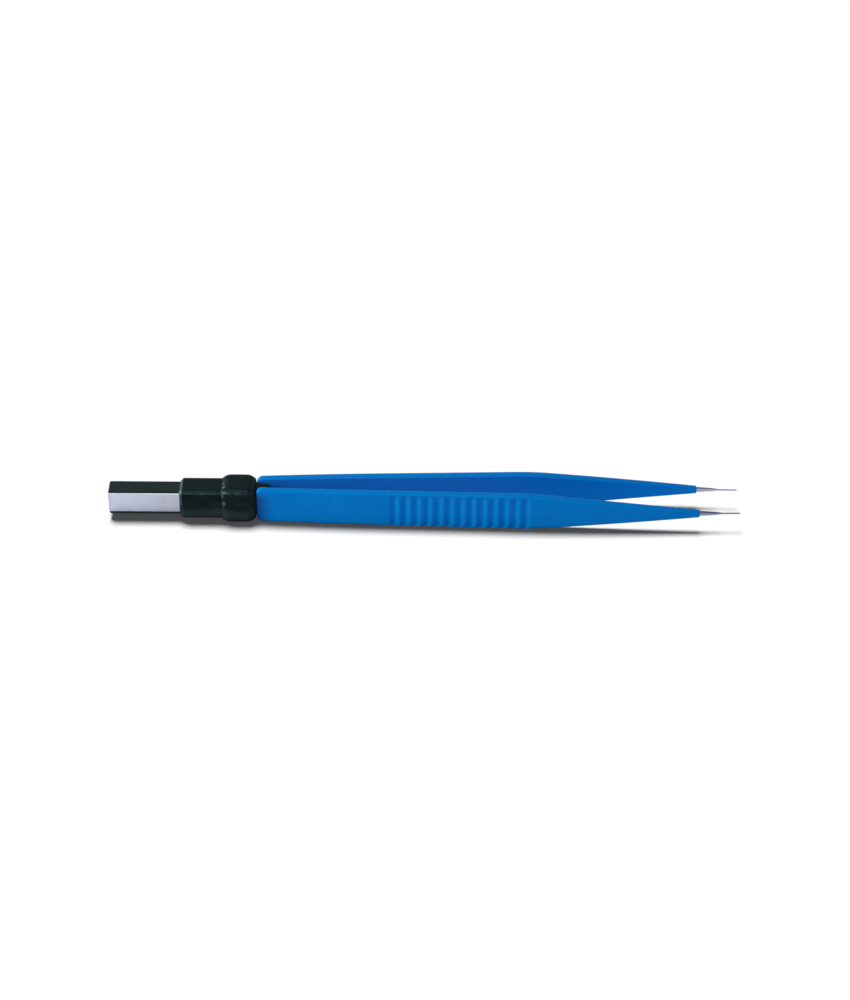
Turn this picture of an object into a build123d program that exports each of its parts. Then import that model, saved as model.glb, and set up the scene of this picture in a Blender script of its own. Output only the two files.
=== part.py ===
from build123d import *

import math
import os

# A bipolar forceps: two insulated spring arms in a flat plug with a contact plate on each face.
# It is drawn along its own axis: X runs from the plug's rear end to the tips, Y across the two arms
# and Z across their broad faces. The left side (+Y) is drawn, and the right one is its mirror image.

# Overall length and the collar's section, in millimetres
TOTAL_LENGTH = 165.0
COLLAR_HEIGHT = 10.6
COLLAR_DEPTH = 9.4

# Stations along the axis, from the plug's rear end
TONGUE_END = 18.6
COLLAR_START = 29.7
BODY_END = 37.0
COLLAR_END = 38.2
SEAL_END = 38.45
NOSE_END = 42.2

# Plug body: the black insulating moulding
TONGUE_HEIGHT = 7.1
TONGUE_DEPTH = 4.7
TONGUE_CORNER = 0.4
TONGUE_REAR_BEVEL = 0.25
BODY_HEIGHT = 8.8
BODY_DEPTH = 7.7
BODY_CORNER = 1.5
BODY_REAR_BEVEL = 0.8
NOSE_HEIGHT = 8.0
NOSE_REAR_HALF = 1.25
NOSE_FRONT_HALF = 0.8
NOSE_ROUND = 0.5

# Collar and mouth seal
COLLAR_CORNER = 2.0
COLLAR_REAR_BEVEL = (1.35, 0.8)
COLLAR_FRONT_BEVEL = (1.0, 0.75)
SEAL_SLOT_INNER = 0.25
SEAL_SLOT_OUTER = 0.1
SEAL_BEVEL = 0.2

# Contact plates: nickel-plated bars let into the tongue's broad faces, thinner inside the moulding
PLATE_REAR = 0.15
PLATE_HEIGHT = 5.8
PLATE_INNER = 1.1
PLATE_OUTER = 2.5
PLATE_BEVEL = 0.18
TAIL_END = 35.2
TAIL_HEIGHT = 5.0

# Arms, seen from above: the spring is straight over the grip and bowed before and after it
ROOT_START = 31.4
BEND_START = 36.0
BOW_START = 38.2
GRIP_START = 72.0
GRIP_FINISH = 112.0
COAT_END = 154.4
ROOT_CENTRE = 2.5
ROOT_THICK = 0.9
ARM = [
    # station, centre line's distance from the axis, steel thickness, coat thickness
    (BOW_START, 2.57, ROOT_THICK, 0.5),
    (GRIP_START, 3.95, 1.1, 0.5),
    (GRIP_FINISH, 5.05, 1.1, 0.5),
    (COAT_END, 5.5, 0.85, 0.3),
]

# Arms, seen from the side, as half heights: a long blade that tapers to the point
COAT_START = 38.7
SHOULDER = 111.0
COAT_ROOT_HALF = 4.95
COAT_SHOULDER_HALF = 5.18
COAT_END_HALF = 0.85
COAT_ROOT_ROUND = 1.2
SHOULDER_ROUND = 90.0
COAT_EDGE_BEVEL = 0.42
ROOT_HALF = 3.0
ROOT_CORNER = 0.4

# Bare points: station, centre line's distance from the axis, thickness and half height
POINT = [
    (COAT_END, 5.5, 0.85, 0.6),
    (158.6, 5.43, 0.6, 0.36),
    (160.2, 5.4, 0.36, 0.19),
    (TOTAL_LENGTH, 5.3, 0.34, 0.17),
]
POINT_EDGE_ROUND = 0.12

# Finger grip: a row of hollow waves milled across each arm's outer face
GRIP_WAVES = 13
GRIP_PITCH = 2.86
GRIP_FIRST = 74.6
GRIP_DEPTH = 0.36
RIDGE_DROP = 0.03
HOLLOW_SHARE = 0.68

# Rivets: one joins each arm's root to its plate's tail
RIVET_STATION = 33.3
RIVET_RADIUS = 0.9
RIVET_HEAD_RADIUS = 1.5
RIVET_HEAD_THICK = 0.3
ROOT_HOLE_RADIUS = 1.0
ROOT_PLAY = 0.14
SLOT_PLAY = 0.2

# Slots in the plug body around the arms' roots
SLOT_START = 31.2
SLOT_HALF_HEIGHT = 3.15
SLOT_RELIEF = 0.3

REACH = 15.0
ROOT_INNER = ROOT_CENTRE - ROOT_THICK / 2
ROOT_OUTER = ROOT_CENTRE + ROOT_THICK / 2
COAT_THICK = ARM[0][3]


def block(x_range, y_range, z_half):
    """A box that is centred on the middle plane in Z."""
    (x0, x1), (y0, y1) = x_range, y_range
    return Pos((x0 + x1) / 2, (y0 + y1) / 2, 0) * Box(x1 - x0, y1 - y0, 2 * z_half)


def bar(x0, x1, depth, height, corner):
    """A bar along X with a rounded rectangular section."""
    return extrude(Plane.YZ.offset(x0) * RectangleRounded(depth, height, corner), amount=x1 - x0)


def crosswise(x, radius, y0, y1):
    """A cylinder along Y, on the middle plane."""
    rod = Cylinder(radius, y1 - y0, align=(Align.CENTER, Align.CENTER, Align.MIN))
    return Pos(x, y0, 0) * Rot(-90, 0, 0) * rod


def side_blank(upper, radii):
    """The outline of half heights and its mirror image below, as thick as the whole instrument."""
    lower = [(x, -z) for x, z in reversed(upper)]
    outline = FilletPolyline(*upper, *lower, radius=[*radii, *reversed(radii)], close=True)
    return extrude(make_face(Plane.XZ * outline), amount=REACH, both=True)


def flank(side, coated):
    """The corners of one long edge of an arm from above: side is 1 for outer and -1 for inner."""
    return [(x, y + side * (steel / 2 + coated * coat)) for x, y, steel, coat in ARM]


def plan_edges(side, coated):
    """One long edge of an arm from above: a bow, the straight grip and another bow."""
    bow_start, grip_start, grip_finish, coat_end = flank(side, coated)
    grip = Line(grip_start, grip_finish)
    return [
        TangentArc(grip_start, bow_start, tangent=-(grip % 0)),
        grip,
        TangentArc(grip_finish, coat_end, tangent=grip % 1),
    ]


def long_edges(solid):
    """The edges that run along the arm."""
    return solid.edges().filter_by(lambda edge: abs((edge % 0.5).X) > 0.8)


def grip_waves(coated):
    """What is milled away for the grip. The hollows meet in sharp ridges, which the coat rounds over."""
    half_pitch = GRIP_PITCH / 2
    climb = GRIP_DEPTH - RIDGE_DROP
    slope = 2 * math.atan(climb / half_pitch)
    radii = half_pitch / math.sin(slope)
    hollow = HOLLOW_SHARE * radii if coated else radii
    ridge = radii - hollow
    clear = 2 * GRIP_DEPTH
    end_slope = math.acos(1 - clear / hollow)
    turn, end_turn = math.degrees(slope), math.degrees(end_slope)
    arcs = []
    for wave in range(GRIP_WAVES):
        start = end_turn if wave == 0 else turn
        finish = end_turn if wave == GRIP_WAVES - 1 else turn
        middle = (wave * GRIP_PITCH, hollow - GRIP_DEPTH)
        arcs.append(CenterArc(middle, hollow, 270 - start, start + finish))
        if coated and wave < GRIP_WAVES - 1:
            top = (wave * GRIP_PITCH + half_pitch, -RIDGE_DROP - ridge)
            arcs.append(CenterArc(top, ridge, 90 - turn, 2 * turn))
    rise = hollow * (1 - math.cos(end_slope)) - GRIP_DEPTH
    left = -hollow * math.sin(end_slope)
    right = (GRIP_WAVES - 1) * GRIP_PITCH - left
    lid = Polyline((right, rise), (right, clear + rise), (left, clear + rise), (left, rise))
    _, (x0, y0), (x1, y1), _ = flank(1, coated)
    start_y = y0 + (y1 - y0) * (GRIP_FIRST - x0) / (x1 - x0)
    face_plane = Plane(origin=(GRIP_FIRST, start_y, 0), x_dir=(x1 - x0, y1 - y0, 0), z_dir=(0, 0, 1))
    return extrude(face_plane * make_face([*arcs, lid]), amount=REACH, both=True)


def coat_form():
    """The left arm with its insulation, as one solid."""
    outer, inner = plan_edges(1, True), plan_edges(-1, True)
    ends = [Line(a, b) for a, b in zip(flank(1, True)[::3], flank(-1, True)[::3])]
    plan = extrude(make_face([*outer, *inner, *ends]), amount=REACH, both=True)
    upper = [(COAT_START, COAT_ROOT_HALF), (SHOULDER, COAT_SHOULDER_HALF), (COAT_END, COAT_END_HALF)]
    blank = plan & side_blank(upper, [0, SHOULDER_ROUND, 0])
    blank = chamfer(long_edges(blank), COAT_EDGE_BEVEL)
    return blank & side_blank(upper, [COAT_ROOT_ROUND, SHOULDER_ROUND, 0]) - grip_waves(True)


def bare_point():
    """The uncoated end of the left arm, ground from the blade's section down to a fine needle."""
    sections = [
        Plane.YZ.offset(x) * Pos(y, 0) * RectangleRounded(thick, 2 * half, POINT_EDGE_ROUND)
        for x, y, thick, half in POINT
    ]
    return loft(sections, ruled=True)


def tine():
    """The left arm's steel: root tail, blade with a milled grip, and bare point."""
    outer, inner = plan_edges(1, False), plan_edges(-1, False)
    outer_corners, inner_corners = flank(1, False), flank(-1, False)
    tail = Polyline(
        outer_corners[0],
        (BEND_START, ROOT_OUTER),
        (ROOT_START, ROOT_OUTER),
        (ROOT_START, ROOT_INNER),
        (BEND_START, ROOT_INNER),
        inner_corners[0],
    )
    plan = make_face([*outer, *inner, tail, Line(outer_corners[-1], inner_corners[-1])])
    steel_start = COAT_START + COAT_THICK
    side = side_blank(
        [
            (ROOT_START, ROOT_HALF),
            (steel_start, ROOT_HALF),
            (steel_start, COAT_ROOT_HALF - COAT_THICK),
            (SHOULDER, COAT_SHOULDER_HALF - COAT_THICK),
            (COAT_END, POINT[0][3]),
        ],
        [ROOT_CORNER, ROOT_CORNER, ROOT_CORNER, SHOULDER_ROUND, 0],
    )
    blade = extrude(plan, amount=REACH, both=True) & side
    holes = crosswise(RIVET_STATION, ROOT_HOLE_RADIUS, 0, REACH)
    return blade + bare_point() - grip_waves(False) - holes


def contact_plate():
    """The left pole: an exposed bar with bevelled edges, and a tail drilled for the rivet."""
    exposed = block((PLATE_REAR, TONGUE_END), (PLATE_INNER, PLATE_OUTER), PLATE_HEIGHT / 2)
    outer_face = exposed.faces().sort_by(Axis.Y)[-1]
    exposed = chamfer(outer_face.edges().filter_by(Axis.X), PLATE_BEVEL)
    tail = block((TONGUE_END, TAIL_END), (PLATE_INNER, ROOT_INNER), TAIL_HEIGHT / 2)
    return exposed + tail - rivet()


def rivet():
    """The left rivet, closed in its plate's tail, with play around the sprung root."""
    under_head = ROOT_OUTER + ROOT_PLAY
    shank = crosswise(RIVET_STATION, RIVET_RADIUS, PLATE_INNER, under_head)
    head = crosswise(RIVET_STATION, RIVET_HEAD_RADIUS, under_head, under_head + RIVET_HEAD_THICK)
    return shank + head


def root_slot():
    """The room in the plug body for the left arm's root and its rivet's head."""
    slot_outer = ROOT_OUTER + SLOT_PLAY
    beside_tail = block((SLOT_START, TAIL_END), (ROOT_INNER, slot_outer), SLOT_HALF_HEIGHT)
    mouth = block((TAIL_END, BODY_END), (ROOT_INNER - SLOT_RELIEF, slot_outer), SLOT_HALF_HEIGHT)
    head_depth = ROOT_OUTER + ROOT_PLAY + RIVET_HEAD_THICK
    head = crosswise(RIVET_STATION, RIVET_HEAD_RADIUS, ROOT_OUTER, head_depth)
    return beside_tail + mouth + head


def nose():
    """The tapered web of the plug body that keeps the two arms apart."""
    plan = Polyline(
        (BODY_END, NOSE_REAR_HALF),
        (NOSE_END, NOSE_FRONT_HALF),
        (NOSE_END, -NOSE_FRONT_HALF),
        (BODY_END, -NOSE_REAR_HALF),
        close=True,
    )
    web = extrude(make_face(plan), amount=NOSE_HEIGHT / 2, both=True)
    front = web.faces().sort_by(Axis.X)[-1]
    return fillet(front.edges().filter_by(Axis.Z), NOSE_ROUND)


def plug_body():
    """The black moulding: tongue, shoulder, front block with the root slots, and nose."""
    tongue = bar(0, TONGUE_END, TONGUE_DEPTH, TONGUE_HEIGHT, TONGUE_CORNER)
    tongue = chamfer(tongue.faces().sort_by(Axis.X)[0].edges(), TONGUE_REAR_BEVEL)
    shoulder = bar(TONGUE_END, BODY_END, BODY_DEPTH, BODY_HEIGHT, BODY_CORNER)
    shoulder = chamfer(shoulder.faces().sort_by(Axis.X)[0].edges(), BODY_REAR_BEVEL)
    inserts = contact_plate() + rivet() + root_slot()
    return tongue + shoulder + nose() - inserts - mirror(inserts, about=Plane.XZ)


def collar():
    """The sleeve pushed over the plug body's front, with bevelled ends."""
    outside = bar(COLLAR_START, COLLAR_END, COLLAR_DEPTH, COLLAR_HEIGHT, COLLAR_CORNER)
    ends = outside.faces().sort_by(Axis.X)
    rear_length, rear_rise = COLLAR_REAR_BEVEL
    front_length, front_rise = COLLAR_FRONT_BEVEL
    outside = chamfer(ends[0].edges(), rear_rise, rear_length, reference=ends[0])
    front = outside.faces().sort_by(Axis.X)[-1]
    outside = chamfer(front.edges(), front_rise, front_length, reference=front)
    return outside - bar(COLLAR_START, COLLAR_END, BODY_DEPTH, BODY_HEIGHT, BODY_CORNER)


def mouth_seal():
    """The filling in the collar's mouth, with a slot for each arm and the nose through it."""
    filling = bar(BODY_END, SEAL_END, BODY_DEPTH, BODY_HEIGHT, BODY_CORNER)
    filling = chamfer(filling.faces().sort_by(Axis.X)[-1].edges(), SEAL_BEVEL)
    slot_range = (ROOT_INNER - SEAL_SLOT_INNER, ROOT_OUTER + SEAL_SLOT_OUTER)
    slot = block((BODY_END, SEAL_END), slot_range, SLOT_HALF_HEIGHT)
    return filling - nose() - slot - mirror(slot, about=Plane.XZ)


def build():
    """Every sub-part in the instrument's own place, by name."""
    steel = tine()
    left = {
        "tine": steel,
        "insulation": coat_form() - steel,
        "contact_plate": contact_plate(),
        "rivet": rivet(),
    }
    parts = {"plug_body": plug_body(), "collar": collar(), "mouth_seal": mouth_seal()}
    for name, shape in left.items():
        parts[f"left_{name}"] = shape
        parts[f"right_{name}"] = mirror(shape, about=Plane.XZ)
    return parts


os.makedirs("parts", exist_ok=True)
place = Pos(-TOTAL_LENGTH / 2, 0, COLLAR_HEIGHT / 2)
for name, shape in build().items():
    export_step(place * shape, f"parts/{name}.step")
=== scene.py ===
import math

import bmesh
import bpy
import numpy as np
from mathutils import Matrix, Vector


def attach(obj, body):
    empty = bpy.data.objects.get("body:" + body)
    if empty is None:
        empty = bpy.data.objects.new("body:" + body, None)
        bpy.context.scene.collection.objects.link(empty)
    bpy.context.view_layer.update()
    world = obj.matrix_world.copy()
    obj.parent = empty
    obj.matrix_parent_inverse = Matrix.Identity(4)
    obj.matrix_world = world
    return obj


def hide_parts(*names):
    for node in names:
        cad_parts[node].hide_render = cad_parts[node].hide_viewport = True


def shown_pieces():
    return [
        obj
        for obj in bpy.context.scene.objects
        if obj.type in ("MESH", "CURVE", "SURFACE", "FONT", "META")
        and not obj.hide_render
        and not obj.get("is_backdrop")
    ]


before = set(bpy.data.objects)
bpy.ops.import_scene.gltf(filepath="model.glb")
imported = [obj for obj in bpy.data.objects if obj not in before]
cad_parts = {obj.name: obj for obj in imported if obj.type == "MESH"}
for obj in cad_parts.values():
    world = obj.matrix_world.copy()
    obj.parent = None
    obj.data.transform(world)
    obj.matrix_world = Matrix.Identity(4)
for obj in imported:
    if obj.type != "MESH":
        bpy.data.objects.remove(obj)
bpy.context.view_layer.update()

# A bipolar forceps on its side: the coated spring arms, the two-pole plug, their finishes and a studio

# The forceps' own axis: millimetres from the plug's rear end, and heights from the middle plane
MM = 0.001
TOTAL_LENGTH = 165.0
MIDDLE_HEIGHT = 5.3


def to_frame(points):
    """Points in millimetres along the forceps' own axis, as metres in the frame."""
    return (np.asarray(points, float) + (-TOTAL_LENGTH / 2, 0, MIDDLE_HEIGHT)) * MM


# Skins over rings of points

CREASE = 40


def link(obj):
    bpy.context.scene.collection.objects.link(obj)
    return obj


def skin(name, *shells):
    """A piece of closed shells. A shell is a row of rings along the piece, joined up or capped."""
    points, faces = [], []
    for rings, joined_up in shells:
        base, count, around = len(points), len(rings), len(rings[0])
        for ring in rings:
            points.extend(ring)
        for i in range(count if joined_up else count - 1):
            here, there = base + i * around, base + (i + 1) % count * around
            for k in range(around):
                m = (k + 1) % around
                faces.append((here + k, here + m, there + m, there + k))
        if not joined_up:
            faces.append([base + k for k in range(around)])
            faces.append([base + (count - 1) * around + k for k in range(around)])
    mesh = bpy.data.meshes.new(name)
    mesh.from_pydata([tuple(point) for point in to_frame(points)], [], faces)
    work = bmesh.new()
    work.from_mesh(mesh)
    bmesh.ops.recalc_face_normals(work, faces=work.faces)
    for face in work.faces:
        face.smooth = True
    work.to_mesh(mesh)
    work.free()
    mesh.set_sharp_from_angle(angle=math.radians(CREASE))
    return link(bpy.data.objects.new(name, mesh))


def rounded_section(y_low, y_high, half, corner, gaps):
    """A rounded rectangle from y_low to y_high and half high each way, as rows of y and z.

    gaps counts the edges along a broad face, along a narrow face and around a corner.
    """
    broad, narrow, bend = gaps
    corner = min(corner, (y_high - y_low) / 2 - 1e-4, half - 1e-4)
    centres = [
        (y_high - corner, half - corner),
        (y_low + corner, half - corner),
        (y_low + corner, corner - half),
        (y_high - corner, corner - half),
    ]
    points = []
    for i, (cy, cz) in enumerate(centres):
        turns = np.radians(90 * i + np.linspace(0, 90, bend + 1))
        points += [(cy + corner * math.cos(t), cz + corner * math.sin(t)) for t in turns]
        next_y, next_z = centres[(i + 1) % 4]
        goal = np.array([next_y, next_z]) + corner * np.array([math.cos(turns[-1]), math.sin(turns[-1])])
        count = broad if i % 2 else narrow
        last = np.array(points[-1])
        points += [tuple(last + (goal - last) * step / count) for step in range(1, count)]
    return np.array(points)


def across(x, section, side=1):
    """A section set up across the axis at station x. side is 1 for the left arm and -1 for the right."""
    return np.column_stack([np.full(len(section), x), side * section[:, 0], section[:, 1]])


# The arms' plan and side outlines

ARM = [
    # station, centre line's distance from the axis, steel thickness, coat thickness
    (38.2, 2.57, 0.9, 0.5),
    (72.0, 3.95, 1.1, 0.5),
    (112.0, 5.05, 1.1, 0.5),
    (154.4, 5.5, 0.85, 0.3),
]
COAT_START, COAT_END = 38.7, 154.4
SHOULDER, SHOULDER_ROUND = 111.0, 90.0
COAT_ROOT_HALF, COAT_SHOULDER_HALF, COAT_END_HALF = 4.95, 5.18, 0.85
STEEL_END_HALF, STEEL_ROOT_HALF = 0.6, 3.0
COAT_THICK = 0.5


def arc_height(start, way, end, x):
    """Height at x of the circle's arc that leaves start along way and ends at end."""
    start, way, end = (np.array(v, float) for v in (start, way, end))
    way = way / np.linalg.norm(way)
    square = np.array([-way[1], way[0]])
    chord = end - start
    radius = chord @ chord / (2 * (chord @ square))
    centre = start + square * radius
    branch = math.copysign(1, start[1] - centre[1])
    return centre[1] + branch * math.sqrt(radius**2 - (x - centre[0]) ** 2)


def flank_y(side, coated, x):
    """Distance from the axis of one broad face: side is 1 for outer and -1 for inner."""
    corners = [(s, y + side * (steel / 2 + coated * coat)) for s, y, steel, coat in ARM]
    way = np.subtract(corners[2], corners[1])
    if x < corners[1][0]:
        return arc_height(corners[1], -way, corners[0], x)
    if x > corners[2][0]:
        return arc_height(corners[2], way, corners[3], x)
    return corners[1][1] + (x - corners[1][0]) * way[1] / way[0]


def side_half(root, shoulder, end, x):
    """Half height of the blade at x: two slopes with a large round between them."""
    rise = (shoulder - root) / (SHOULDER - COAT_START)
    fall = (end - shoulder) / (COAT_END - SHOULDER)
    turn = (math.atan(rise) - math.atan(fall)) / 2
    reach = SHOULDER_ROUND * math.tan(turn)
    straight = shoulder + (rise if x < SHOULDER else fall) * (x - SHOULDER)
    inside = max(0, (reach - abs(x - SHOULDER)) / reach)
    return straight - inside**2 * reach * math.tan(turn) / 2


def coat_half(x):
    return side_half(COAT_ROOT_HALF, COAT_SHOULDER_HALF, COAT_END_HALF, x)


def steel_half(x):
    return side_half(COAT_ROOT_HALF - COAT_THICK, COAT_SHOULDER_HALF - COAT_THICK, STEEL_END_HALF, x)


# The grip's waves

GRIP_WAVES, GRIP_PITCH, GRIP_FIRST = 13, 2.86, 74.88
GRIP_DEPTH, RIDGE_DROP = 0.36, 0.03
REAR_WALL, FRONT_WALL = 1.64, 1.22
UPPER_FADE, LOWER_FADE = (0.3, 1.25), (0.1, 0.5)


def smooth(value, low, high):
    """0 at low, 1 at high, and smooth between, for many values at once."""
    share = np.clip((value - low) / (high - low), 0, 1)
    return share * share * (3 - 2 * share)


def wave_depth(x):
    """How far the coated grip lies under the plain face at x. Each hollow's front wall is the steeper."""
    wave = min(max(round((x - GRIP_FIRST) / GRIP_PITCH), 0), GRIP_WAVES - 1)
    along = x - GRIP_FIRST - wave * GRIP_PITCH
    if along > FRONT_WALL and wave < GRIP_WAVES - 1:
        wave, along = wave + 1, along - GRIP_PITCH
    wall = REAR_WALL if along < 0 else FRONT_WALL
    if abs(along) >= wall:
        return 0.0
    outermost = (wave == 0 and along < 0) or (wave == GRIP_WAVES - 1 and along > 0)
    crest = 0.0 if outermost else RIDGE_DROP
    return crest + (GRIP_DEPTH - crest) * (1 + math.cos(math.pi * along / wall)) / 2


# The insulation

COAT_ROUND, COAT_END_ROUND = 0.55, 0.3
ROOT_LENGTH, ROOT_DRAW_Y, ROOT_DRAW_Z = 1.5, 0.44, 1.25
FRONT_LENGTH, FRONT_DRAW_Y, FRONT_DRAW_Z = 0.28, 0.24, 0.22
COAT_GAPS = (18, 3, 7)
COAT_TRIM = 0.014
OUTER_SHARE = 0.6
STEEL_CORNER, STEEL_WAVE_SHARE = 0.05, 1.04
ROOT_RINGS, PLAIN_RINGS, GRIP_RINGS, TAPER_RINGS, FRONT_RINGS = 10, 66, 340, 90, 7
GRIP_ZONE, RING_GAP = (72.5, 111.0), 0.1


def coat_ring(side, x, draw_y=0.0, draw_z=0.0):
    """One ring of the coat's outside at station x, drawn in by the ends' rounding."""
    outer, inner, half = flank_y(1, True, x) - COAT_TRIM, flank_y(-1, True, x), coat_half(x)
    share = max(0, (x - SHOULDER) / (COAT_END - SHOULDER))
    corner = COAT_ROUND + (COAT_END_ROUND - COAT_ROUND) * share
    section = rounded_section(inner + draw_y, outer - draw_y, half - draw_z, corner, COAT_GAPS)
    depth = wave_depth(x)
    if depth:
        z = section[:, 1]
        fade = np.where(z > 0, smooth(half - z, *UPPER_FADE), smooth(half + z, *LOWER_FADE))
        on_outer = section[:, 0] > inner + OUTER_SHARE * (outer - inner)
        section[:, 0] -= depth * fade * on_outer
    return across(x, section, side)


def steel_ring(side, x, half):
    """One ring of the coat's inside, which lies on the steel."""
    inner, outer = flank_y(-1, False, x), flank_y(1, False, x) - STEEL_WAVE_SHARE * wave_depth(x)
    return across(x, rounded_section(inner, outer, half, STEEL_CORNER, COAT_GAPS), side)


def coat(name, side):
    """The insulation of one arm: an outside, two rounded ends and an inside on the steel."""
    grip_start, grip_end = GRIP_ZONE
    stations = np.concatenate(
        [
            np.linspace(COAT_START + ROOT_LENGTH, grip_start - RING_GAP, PLAIN_RINGS)[1:],
            np.linspace(grip_start, grip_end, GRIP_RINGS),
            np.linspace(grip_end + RING_GAP, COAT_END - FRONT_LENGTH, TAPER_RINGS)[:-1],
        ]
    )
    rings = []
    for turn in np.radians(np.linspace(0, 90, ROOT_RINGS)):
        draw = 1 - math.sin(turn)
        x = COAT_START + ROOT_LENGTH * (1 - math.cos(turn))
        rings.append(coat_ring(side, x, ROOT_DRAW_Y * draw, ROOT_DRAW_Z * draw))
    rings += [coat_ring(side, x) for x in stations]
    for turn in np.radians(np.linspace(0, 90, FRONT_RINGS)):
        draw = 1 - math.cos(turn)
        x = COAT_END - FRONT_LENGTH * (1 - math.sin(turn))
        rings.append(coat_ring(side, x, FRONT_DRAW_Y * draw, FRONT_DRAW_Z * draw))
    step = COAT_START + COAT_THICK
    rings += [steel_ring(side, x, steel_half(x)) for x in [COAT_END, *stations[::-2], step]]
    rings += [steel_ring(side, x, STEEL_ROOT_HALF) for x in (step, COAT_START)]
    return skin(name, (rings, True))


SEALANT = [
    # station and thickness of the sealant on the steel
    (38.47, 0.0),
    (38.47, 0.06),
    (38.6, 0.1),
    (39.15, 0.1),
    (39.15, 0.0),
]
SEALANT_CORNER, SEALANT_GAPS = 0.12, (6, 2, 4)


def root_sealant(name, side):
    """The black sealant on one arm's root, between the mouth of the plug and the coat."""
    rings = []
    for x, thick in SEALANT:
        low, high = flank_y(-1, False, x) - thick, flank_y(1, False, x) + thick
        section = rounded_section(low, high, STEEL_ROOT_HALF + thick, SEALANT_CORNER, SEALANT_GAPS)
        rings.append(across(x, section, side))
    return skin(name, (rings, True))


# The plug

TONGUE_END, COLLAR_START, BODY_END, COLLAR_END = 18.6, 29.7, 37.0, 38.2
NOSE_START, NOSE_END = 36.0, 42.2
BODY = (3.85, 4.4, 1.5)
TONGUE_DEPTH, TONGUE_HALF, TONGUE_BEVEL = 2.35, 3.55, 0.25
TONGUE_CORNER, SEAT_START = 0.1, 0.15
PLATE_HALF, PLATE_INNER = 2.9, 1.1
CUP_START, CUP = 20.5, (3.55, 3.2, 0.2)
PLUG_GAPS = (12, 8, 9)
BEND_STEPS = 7


def softened(profile):
    """Rings' sizes along a profile whose corners are rounded off.

    Each row is station, half depth, half height, corner, and how far the softening reaches.
    """
    rows = [np.array(row[:4], float) for row in profile]
    soft = [rows[0]]
    for before, here, after, row in zip(rows, rows[1:], rows[2:], profile[1:]):
        to_before, to_after = before - here, after - here
        start = here + to_before * min(0.999, row[4] / np.linalg.norm(to_before[:3]))
        end = here + to_after * min(0.999, row[4] / np.linalg.norm(to_after[:3]))
        for t in np.linspace(0, 1, BEND_STEPS if row[4] else 1):
            soft.append((1 - t) ** 2 * start + 2 * t * (1 - t) * here + t * t * end)
    return soft + [rows[-1]]


def plug_ring(x, depth, half, corner):
    return across(x, rounded_section(-depth, depth, half, corner, PLUG_GAPS))


def tongue_ring(x, inset, pocketed):
    """A ring of the tongue. A pocketed one is cut back to the seats of the two contact plates."""
    depth, half = TONGUE_DEPTH - inset, TONGUE_HALF - inset
    section = rounded_section(-depth, depth, half, TONGUE_CORNER, PLUG_GAPS)
    broad, narrow, bend = PLUG_GAPS
    levels = np.linspace(PLATE_HALF, -PLATE_HALF, broad - 3)
    levels = np.array([PLATE_HALF, *levels, -PLATE_HALF])
    right_face = 2 * bend + narrow + 1
    # The left face starts one point early, on the last point of its corner
    left_face = 4 * bend + 2 * narrow + broad
    for first, way in ((right_face, 1), (left_face, -1)):
        rows = np.arange(first, first + broad - 1)
        section[rows, 1] = way * levels
        if pocketed:
            seat = rows[1:-1]
            section[seat, 0] = np.sign(section[seat, 0]) * PLATE_INNER
    return across(x, section)


def plug_moulding(name):
    """The black moulding: tongue, shoulder and front block, hollow for the roots, and the nose."""
    seat_inset = TONGUE_BEVEL - SEAT_START
    tongue = [
        tongue_ring(0.0, TONGUE_BEVEL, False),
        tongue_ring(SEAT_START, seat_inset, False),
        tongue_ring(SEAT_START, seat_inset, True),
        tongue_ring(TONGUE_BEVEL, 0.0, True),
        tongue_ring(TONGUE_END, 0.0, True),
    ]
    block = softened(
        [
            (TONGUE_END, 3.05, 3.6, 0.7, 0),
            (19.4, *BODY, 0.35),
            (BODY_END, *BODY, 0),
            (BODY_END, *CUP, 0),
            (CUP_START, *CUP, 0),
        ]
    )
    nose = softened(
        [
            (NOSE_START, 1.05, 3.1, 0.2, 0),
            (36.9, 1.05, 3.1, 0.2, 0),
            (BODY_END, 1.25, 4.0, 0.25, 0),
            (NOSE_END, 0.8, 4.0, 0.25, 0.5),
            (NOSE_END, 0.2, 3.5, 0.12, 0),
        ]
    )
    shells = [tongue + [plug_ring(*row) for row in block], [plug_ring(*row) for row in nose]]
    return skin(name, *((rings, False) for rings in shells))


def collar(name):
    """The sleeve over the plug body's front, a little fuller in its middle."""
    profile = [
        (COLLAR_START, 3.86, 4.41, 1.5, 0),
        (COLLAR_START, 3.92, 4.5, 1.3, 0.08),
        (30.95, 4.66, 5.26, 1.95, 0.9),
        (34.1, 4.7, 5.3, 2.0, 2.0),
        (37.0, 4.66, 5.26, 1.95, 1.1),
        (COLLAR_END, 3.9, 4.46, 1.4, 0.14),
        (COLLAR_END, 3.86, 4.41, 1.5, 0),
    ]
    rings = [plug_ring(*row) for row in softened(profile)]
    rings += [plug_ring(x, *BODY) for x in (COLLAR_END, COLLAR_START)]
    return skin(name, (rings, True))


# Finishes

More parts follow.
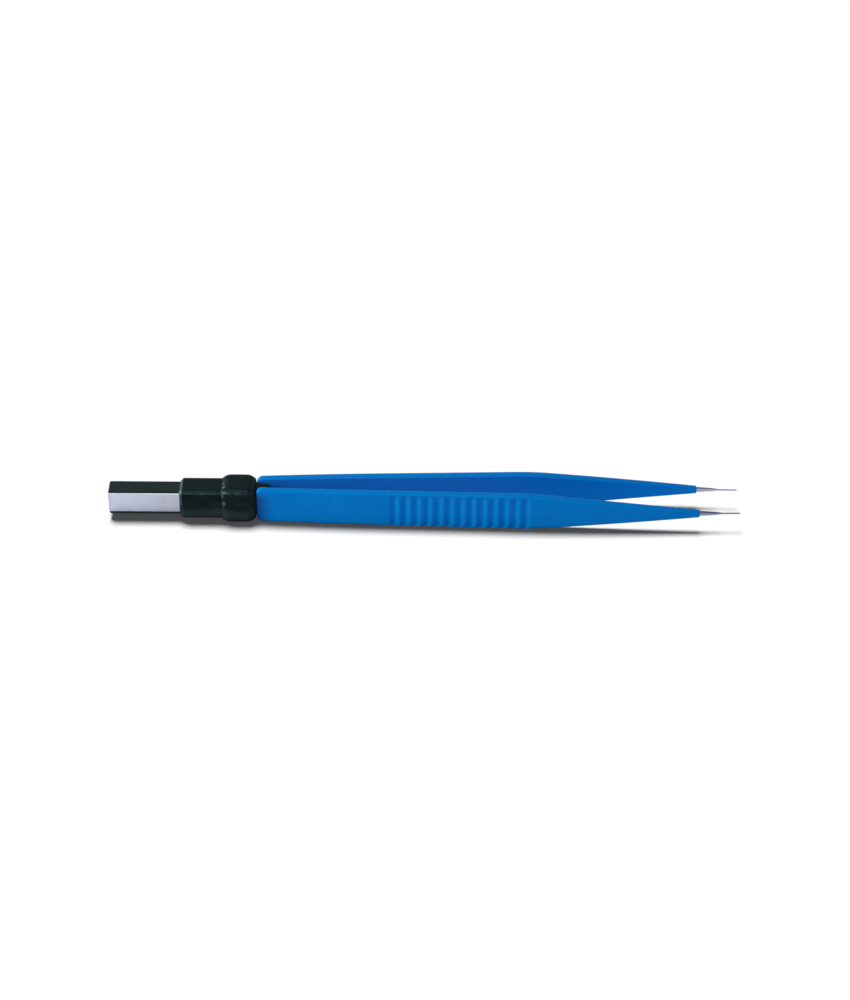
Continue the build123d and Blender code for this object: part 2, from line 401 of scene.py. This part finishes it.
class Wire:
    """An output on a bench. Python's operators on it add the nodes that work them out."""

    def __init__(self, bench, socket):
        self.bench, self.socket = bench, socket

    @staticmethod
    def is_number(value):
        return value.socket.type == "VALUE" if isinstance(value, Wire) else isinstance(value, (int, float))

    def join(self, operation, a, b):
        if self.is_number(a) and self.is_number(b):
            return self.bench.node("Math", {"operation": operation}, {0: a, 1: b})
        if operation == "MULTIPLY" and (self.is_number(a) or self.is_number(b)):
            vector, scale = (b, a) if self.is_number(a) else (a, b)
            return self.bench.node("VectorMath", {"operation": "SCALE"}, {"Vector": vector, "Scale": scale})
        return self.bench.node("VectorMath", {"operation": operation}, {0: a, 1: b})

    def __add__(self, other):
        return self.join("ADD", self, other)

    def __radd__(self, other):
        return self.join("ADD", other, self)

    def __sub__(self, other):
        return self.join("SUBTRACT", self, other)

    def __rsub__(self, other):
        return self.join("SUBTRACT", other, self)

    def __mul__(self, other):
        return self.join("MULTIPLY", self, other)

    def __rmul__(self, other):
        return self.join("MULTIPLY", other, self)


class Bench:
    """A node tree that is being made. node() adds any node and gives one of its outputs."""

    def __init__(self, tree):
        self.tree = tree
        tree.nodes.clear()

    @staticmethod
    def find(sockets, key):
        if isinstance(key, int):
            return sockets[key]
        return next((socket for socket in sockets if socket.identifier == key), None) or sockets[key]

    def node(self, kind, settings=None, sockets=None, output=0):
        made = self.tree.nodes.new("ShaderNode" + kind)
        for key, value in (settings or {}).items():
            setattr(made, key, value)
        for key, value in (sockets or {}).items():
            socket = self.find(made.inputs, key)
            if isinstance(value, Wire):
                self.tree.links.new(value.socket, socket)
            elif socket.type == "RGBA" and len(value) == 3:
                socket.default_value = (*value, 1)
            else:
                socket.default_value = value
        return Wire(self, self.find(made.outputs, output))

    def end(self, kind, surface):
        last = self.tree.nodes.new("ShaderNode" + kind)
        self.tree.links.new(surface.socket, last.inputs["Surface"])

    def band(self, value, low, high):
        """0 at low, 1 at high, and smooth between."""
        settings = {"interpolation_type": "SMOOTHSTEP", "clamp": True}
        return self.node("MapRange", settings, {"Value": value, "From Min": low, "From Max": high})

    def between(self, value, rise, fall):
        """1 between two bands, and smooth in them."""
        return self.band(value, *rise) - self.band(value, *fall)

    def place(self):
        """The piece's own coordinates, in millimetres."""
        return self.node("TexCoord", output="Object") * 1000.0

    def along(self, axis):
        """One of the piece's own coordinates, in millimetres."""
        return self.node("SeparateXYZ", {}, {"Vector": self.place()}, output=axis)

    def facing(self, axis):
        """How far the surface faces along one axis, from -1 to 1."""
        normal = self.node("NewGeometry", output="Normal")
        return self.node("SeparateXYZ", {}, {"Vector": normal}, output=axis)

    def noise(self, size, detail=2.0, rough=0.5, stretch=(1, 1, 1)):
        """Cloudy noise from 0 to 1. Its features are size millimetres times stretch."""
        sockets = {
            "Vector": self.place() * tuple(1 / length for length in stretch),
            "Scale": 1 / size,
            "Detail": detail,
            "Roughness": rough,
        }
        return self.node("TexNoise", {}, sockets)

    def mix(self, share, a, b):
        """Colour a at 0 and colour b at 1."""
        settings = {"data_type": "RGBA", "clamp_factor": True}
        sockets = {"Factor_Float": share, "A_Color": a, "B_Color": b}
        return self.node("Mix", settings, sockets, output="Result_Color")

    def bump(self, height, depth):
        """A normal from a height of 0 to 1, where 1 stands depth millimetres proud."""
        return self.node("Bump", {}, {"Height": height, "Strength": 1.0, "Distance": depth * MM})


def finish(name, make):
    """A material whose Principled shader has the sockets that make() gives."""
    material = bpy.data.materials.new(name)
    material.use_nodes = True
    bench = Bench(material.node_tree)
    bench.end("OutputMaterial", bench.node("BsdfPrincipled", {}, make(bench)))
    return material


# Colours, as linear red, green and blue

BLUE = (0.0, 0.123, 0.4)
BLUE_DEEP = (0.0, 0.114, 0.375)
BLUE_PAINTED_LIGHT = (0.0, 0.14, 0.42)
BLUE_TOP_SHADE = (0.0, 0.116, 0.352)
BLUE_RIDGE_SHADE = (0.0, 0.127, 0.375)
BLUE_HOLLOW_LIGHT = (0.0, 0.12, 0.45)
BLUE_INNER_SHADE = (0.008, 0.118, 0.46)
BLUE_INNER_SHADE_FRONT = (0.0, 0.118, 0.44)
BLUE_ROOT_SHADE = (0.004, 0.055, 0.22)
BLACK = (0.0026, 0.0048, 0.0045)
BLACK_PALE = (0.0055, 0.0098, 0.0088)
BLACK_LOW_REFLECTION = (0.011, 0.0175, 0.0178)
BLACK_TOP_LIGHT = (0.0052, 0.0098, 0.0098)
BLACK_TONGUE = (0.0105, 0.0175, 0.0165)
BLACK_HIGHLIGHT = (0.03, 0.042, 0.047)
BLACK_GLINT = (0.05, 0.068, 0.078)
NICKEL = (0.53, 0.56, 0.68)
NICKEL_DULL = (0.42, 0.435, 0.53)
STEEL = (0.4, 0.42, 0.6)
STEEL_DARK = (0.3, 0.31, 0.47)
STEEL_TOP_SHADE = (0.13, 0.15, 0.27)

# Tints of the highlights
BLUE_SHINE = (0.05, 0.55, 1.0, 1)
BLACK_SHINE = (0.3, 0.55, 0.8, 1)

# Where the finishes and the painted light and shade change, in the frame's millimetres: each pair is where
# a band starts and ends
STREAK_HIGHLIGHT_REAR, STREAK_HIGHLIGHT_FRONT = (-24.6, -23.4), (-21.8, -20.2)
GRIP_REAR, GRIP_FRONT, GRIP_UPPER = (-9.4, -8.8), (27.6, 28.2), (9.7, 8.8)
HOLLOW_AT = GRIP_FIRST - TOTAL_LENGTH / 2 - 0.85
INNER_FADE = (48.0, 4.0)
ROOT_SHADE, ROOT_SHADE_UPPER = (-39.0, -43.6), (9.4, 7.6)
TONGUE_ZONE = (-63.6, -64.2)
SHOULDER_RIM_REAR, SHOULDER_RIM_FRONT = (-64.0, -63.8), (-63.5, -63.1)
SHOULDER_RIM_LOWER = (4.5, 6.0)
COLLAR_RIM = (-52.1, -52.5)
DULL_ZONE = (-80.0, -63.5)

# Two painted glints on the collar's rear rim, and the distances at which they fade in
COLLAR_GLINTS = ((-52.25, -2.0, 10.0), (-52.25, -4.3, 6.45))
GLINT_REACH = (0.75, 0.1)


def blue_nylon(f):
    """The dipped nylon coat: an even blue, with painted shade at the root and between the arms, painted
    light and shade over the grip, a painted highlight streak, painted light low down and painted shade on
    the faces that look up.
    """
    x, y, z = (f.along(axis) for axis in "XYZ")
    colour = f.mix(f.band(f.noise(7.0, 3.0), 0.38, 0.68), BLUE, BLUE_DEEP)
    # Painted highlight: a paler streak across the arm's face where a lamp's reflection falls, stronger in
    # the upper part
    streak_highlight = f.between(x, STREAK_HIGHLIGHT_REAR, STREAK_HIGHLIGHT_FRONT) * f.band(z, 0.0, 7.0) * 0.5
    colour = f.mix(streak_highlight, colour, BLUE_PAINTED_LIGHT)
    # Painted light: paler towards the bottom, to offset the shadow on the floor in front
    colour = f.mix(f.band(z, 4.0, 0.0) * 0.8, colour, BLUE_PAINTED_LIGHT)
    # Painted shade: the faces that look up are a darker blue
    colour = f.mix(f.band(f.facing("Z"), 0.5, 0.95), colour, BLUE_TOP_SHADE)
    outward = f.facing("Y") * (2 * f.band(y, -0.5, 0.5) - 1)
    # Painted light and shade on the grip: the hollows lighter and bluer, the ridges darker, in step with
    # the waves
    wave = f.node("Math", {"operation": "COSINE"}, {0: (x - HOLLOW_AT) * (2 * math.pi / GRIP_PITCH)})
    grip_shading = f.between(x, GRIP_REAR, GRIP_FRONT) * f.band(z, *GRIP_UPPER) * f.band(outward, 0.4, 0.8)
    colour = f.mix(grip_shading, colour, f.mix(0.5 + 0.5 * wave, BLUE_RIDGE_SHADE, BLUE_HOLLOW_LIGHT))
    # Painted shade between the arms: the inner faces turn a violet blue
    inner = f.mix(f.band(x, *INNER_FADE), BLUE_INNER_SHADE_FRONT, BLUE_INNER_SHADE)
    colour = f.mix(f.band(outward, -0.6, -0.95), colour, inner)
    # Painted shade at the root, where the arm enters the collar: darker blue except along the top edge
    root = f.band(x, *ROOT_SHADE) * f.band(z, *ROOT_SHADE_UPPER)
    return {
        "Base Color": f.mix(root, colour, BLUE_ROOT_SHADE),
        "Roughness": 0.2 + 0.12 * f.noise(0.9),
        "Normal": f.bump(f.noise(0.5, 2.0, 0.4), 0.003),
        "Specular IOR Level": 0.12,
        "Specular Tint": BLUE_SHINE,
    }


def mottled_black_with_painted_light(f):
    """Mottled black, with a painted reflection paler low down, painted light on top and a painted highlight
    along the long rounded edges.
    """
    z = f.along("Z") + 1.2 * (f.noise(3.0) - 0.5)
    colour = f.mix(f.band(f.noise(2.6, 4.0, 0.6), 0.42, 0.7), BLACK, BLACK_PALE)
    # Painted reflection: paler low down
    colour = f.mix(f.band(z, 5.0, 3.4), colour, BLACK_LOW_REFLECTION)
    # Painted light: paler on top, unevenly
    colour = f.mix(f.band(z, 8.4, 9.4) * (0.6 + 0.8 * f.noise(1.8, 3.0)), colour, BLACK_TOP_LIGHT)
    # Painted highlight along the long rounded edges, in patches
    edge_highlight = f.between(f.facing("Z"), (0.36, 0.5), (0.62, 0.76))
    return f.mix(edge_highlight * f.band(f.noise(2.4, 2.0), 0.3, 0.8), colour, BLACK_HIGHLIGHT)


def black_moulding(f):
    """Moulded black plastic with a green cast: paler on the tongue, with a painted highlight on the
    shoulder's rim.
    """
    x = f.along("X")
    colour = f.mix(f.band(x, *TONGUE_ZONE), mottled_black_with_painted_light(f), BLACK_TONGUE)
    # Painted highlight on the shoulder's rear rim
    rim_highlight = f.between(x, SHOULDER_RIM_REAR, SHOULDER_RIM_FRONT) * f.band(f.along("Z"), *SHOULDER_RIM_LOWER)
    return {
        "Base Color": f.mix(rim_highlight * f.band(f.noise(1.6), 0.3, 0.5), colour, BLACK_HIGHLIGHT),
        "Roughness": 0.2 + 0.14 * f.noise(1.6, 3.0),
        "Normal": f.bump(f.noise(0.35), 0.003),
        "Specular IOR Level": 0.085,
        "Specular Tint": BLACK_SHINE,
    }


def black_sleeve(f):
    """The glossier black of the collar, with painted highlights here and there on its rear rim and two
    painted glints.
    """
    # Painted highlights in patches along the rear rim
    rim_highlight = f.band(f.along("X"), *COLLAR_RIM) * f.band(f.noise(1.6, 0.0), 0.56, 0.68)
    colour = f.mix(rim_highlight, mottled_black_with_painted_light(f), BLACK_HIGHLIGHT)
    # Two painted glints on the rear rim
    for glint in COLLAR_GLINTS:
        away = f.node("VectorMath", {"operation": "DISTANCE"}, {0: f.place(), 1: glint}, output="Value")
        colour = f.mix(f.band(away, *GLINT_REACH), colour, BLACK_GLINT)
    return {
        "Base Color": colour,
        "Roughness": 0.17 + 0.16 * f.noise(1.3, 3.0),
        "Normal": f.bump(f.noise(0.8), 0.012),
        "Specular IOR Level": 0.09,
        "Specular Tint": BLACK_SHINE,
    }


def black_seal(f):
    """The matt black filling and sealant."""
    return {
        "Base Color": f.mix(f.noise(1.0, 3.0), BLACK, BLACK_PALE),
        "Roughness": 0.5 + 0.2 * f.noise(0.4),
        "Normal": f.bump(f.noise(0.25), 0.006),
        "Specular IOR Level": 0.04,
    }


def satin_nickel(f):
    """The contact plates: satin nickel, duller towards the shoulder, with fine scratches."""
    # Duller towards the shoulder, and in random patches
    dulling = 0.85 * f.band(f.along("X"), *DULL_ZONE) + 0.4 * f.band(f.noise(2.6, 4.0, 0.6), 0.45, 0.75)
    scratch = f.noise(1.0, 3.0, 0.5, (6.0, 0.09, 0.09))
    return {
        "Base Color": f.mix(dulling, NICKEL, NICKEL_DULL),
        "Metallic": 1.0,
        "Roughness": 0.36 + 0.14 * scratch,
        "Normal": f.bump(scratch, 0.003),
    }


def satin_steel(f):
    """The bare steel of the points and roots, ground along its length, with painted shade on the right
    point's upper face.
    """
    ground = f.noise(1.0, 3.0, 0.5, (2.5, 0.05, 0.05))
    colour = f.mix(f.band(ground, 0.35, 0.7), STEEL, STEEL_DARK)
    # Painted shade: the right point's upper face is darker
    top_shade = f.band(f.along("Y"), 1.0, -1.0) * f.band(f.along("Z"), 4.9, 5.5) * 0.8
    return {
        "Base Color": f.mix(top_shade, colour, STEEL_TOP_SHADE),
        "Metallic": 1.0,
        "Roughness": 0.26 + 0.14 * ground,
        "Normal": f.bump(ground, 0.003),
    }


coat_blue = finish("blue_nylon_coat", blue_nylon)
moulding_black = finish("black_moulding", black_moulding)
sleeve_black = finish("black_sleeve", black_sleeve)
seal_black = finish("black_seal", black_seal)
plate_nickel = finish("satin_nickel", satin_nickel)
bare_steel = finish("satin_steel", satin_steel)


# Pieces put in place

WELD_REACH = 0.002
BEVEL_STEPS, BEVEL_CREASE = 3, 30


def put(piece, body, slot, material, *nodes):
    """Gives a piece its body and its finish, and hides the nodes that it stands in for. slot is not used.
    """
    piece.data.materials.append(material)
    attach(piece, body)
    if nodes:
        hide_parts(*nodes)


def carry_over(node, width, material):
    """A CAD node kept as it is, with its edges softened and its finish put on."""
    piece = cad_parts[node]
    piece.data.materials.clear()
    piece.data.materials.append(material)
    for polygon in piece.data.polygons:
        polygon.use_smooth = True
    piece.modifiers.new("weld", "WELD").merge_threshold = WELD_REACH * MM
    bevel = piece.modifiers.new("bevel", "BEVEL")
    bevel.width, bevel.segments = width * MM, BEVEL_STEPS
    bevel.limit_method, bevel.angle_limit = "ANGLE", math.radians(BEVEL_CREASE)
    bevel.harden_normals = True


put(plug_moulding("plug_moulding"), "plug", "moulding", moulding_black, "plug_body")
put(collar("collar_sleeve"), "plug", "collar", sleeve_black, "collar")
carry_over("mouth_seal", 0.06, seal_black)
for side, sign in (("left", 1), ("right", -1)):
    put(coat(f"{side}_coat", sign), f"{side}_arm", "insulation", coat_blue, f"{side}_insulation")
    put(root_sealant(f"{side}_root_sealant", sign), f"{side}_arm", "seal", seal_black)
    carry_over(f"{side}_contact_plate", 0.05, plate_nickel)
    carry_over(f"{side}_tine", 0.03, bare_steel)
    carry_over(f"{side}_rivet", 0.05, plate_nickel)


# The studio: a white floor, four lamps and the world

FLOOR_REACH, FLOOR_PAINT, FLOOR_GLOW = 30.0, 0.06, 0.06
SUN_AZIMUTH, SUN_ELEVATION, SUN_SPREAD = 205.0, 74.0, 22.0
LAMP_DISTANCE = 0.8
WARM, WARM_GREEN = (0.96, 1, 0.9), (0.94, 1.02, 0.86)
WORLD_STRENGTH, WORLD_COLOUR = 0.28, (0.78, 0.86, 1.45)
MIRRORED_FADE, MIRRORED_HEIGHTS = 0.78, (0.08, 0.4)


def towards(azimuth, elevation):
    """The way to a lamp: azimuth 0 is the camera's side, and 90 the points' side."""
    a, e = math.radians(azimuth), math.radians(elevation)
    return Vector((math.sin(a) * math.cos(e), -math.cos(a) * math.cos(e), math.sin(e)))


def lamp(name, kind, azimuth, elevation):
    made = link(bpy.data.objects.new(name, bpy.data.lights.new(name, kind)))
    way = towards(azimuth, elevation)
    made.location = way * LAMP_DISTANCE
    made.rotation_mode = "QUATERNION"
    made.rotation_quaternion = way.to_track_quat("Z", "Y")
    return made


def softbox(name, azimuth, elevation, size, level, colour):
    """A soft lamp over the forceps. level is what a white face square to it shows."""
    made = lamp(name, "AREA", azimuth, elevation)
    made.data.shape = "RECTANGLE"
    made.data.size, made.data.size_y = size
    made.data.energy = level * math.pi**2 * LAMP_DISTANCE**2
    made.data.color = colour
    return made


def white_paint(_):
    """The floor: dark paint under a strong sun, so that a shadow on it is dark and the rest is white."""
    return {
        "Base Color": (FLOOR_PAINT,) * 3,
        "Roughness": 1.0,
        "Specular IOR Level": 0.0,
        "Emission Color": (1, 1, 1),
        "Emission Strength": FLOOR_GLOW,
    }


sheet = bpy.data.meshes.new("floor")
corners = [(i * FLOOR_REACH, j * FLOOR_REACH, 0) for i, j in ((-1, -1), (1, -1), (1, 1), (-1, 1))]
sheet.from_pydata(corners, [], [(0, 1, 2, 3)])
sheet.materials.append(finish("white_floor", white_paint))
floor = link(bpy.data.objects.new("floor", sheet))
floor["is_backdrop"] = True

sun = lamp("lamp_over_floor", "SUN", SUN_AZIMUTH, SUN_ELEVATION)
sun.data.angle = math.radians(SUN_SPREAD)
sun.data.energy = (1 - FLOOR_GLOW) * math.pi / (FLOOR_PAINT * math.sin(math.radians(SUN_ELEVATION)))
softboxes = [
    softbox("lamp_above", -20, 72, (0.7, 0.4), 0.7, WARM),
    softbox("lamp_front_left", -71, 24, (0.3, 0.3), 1.2, WARM_GREEN),
    softbox("lamp_back_left", -109, 8, (0.3, 0.3), 1.0, WARM_GREEN),
]

floor_only, forceps_only = (bpy.data.collections.new(name) for name in ("floor_only", "forceps_only"))
floor_only.objects.link(floor)
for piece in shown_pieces():
    forceps_only.objects.link(piece)
sun.light_linking.receiver_collection = floor_only
for box in softboxes:
    box.light_linking.receiver_collection = forceps_only


def studio_world(w):
    """Dim light all round, white where the camera sees it, and a white horizon where it is mirrored."""
    height = w.node("SeparateXYZ", {}, {"Vector": w.node("TexCoord", output="Generated")}, output="Z")
    camera, glossy, through = (
        w.node("LightPath", output=f"Is {ray} Ray") for ray in ("Camera", "Glossy", "Transmission")
    )
    mirrored = glossy + through
    seen = camera + mirrored
    horizon = 1 - MIRRORED_FADE * w.band(height, *MIRRORED_HEIGHTS)
    strength = camera + mirrored * horizon + (1 - seen) * WORLD_STRENGTH
    colour = w.mix(seen, WORLD_COLOUR, (1, 1, 1))
    w.end("OutputWorld", w.node("Background", {}, {"Color": colour, "Strength": strength}))


world = bpy.data.worlds.new("studio")
world.use_nodes = True
studio_world(Bench(world.node_tree))
bpy.context.scene.world = world

# The camera

SCALE, DISTANCE, ELEVATION, ROLL = 3.81, 0.7, 35.0, 0.42
AIM = Vector((0.26, 0, 5.1)) * MM
CLIP = (0.01, 60)

back = towards(0, ELEVATION)
right, up = Vector((1, 0, 0)), back.cross((1, 0, 0))
turn = math.radians(ROLL)
level, upright = right * math.cos(turn) + up * math.sin(turn), up * math.cos(turn) - right * math.sin(turn)
columns = (level, upright, back)
camera = link(bpy.data.objects.new("camera", bpy.data.cameras.new("camera")))
camera.matrix_world = Matrix.Translation(AIM + back * DISTANCE) @ Matrix(columns).transposed().to_4x4()
camera.data.lens = SCALE * DISTANCE * camera.data.sensor_width
camera.data.clip_start, camera.data.clip_end = CLIP
bpy.context.scene.camera = camera
bpy.context.scene.view_settings.view_transform = "Standard"
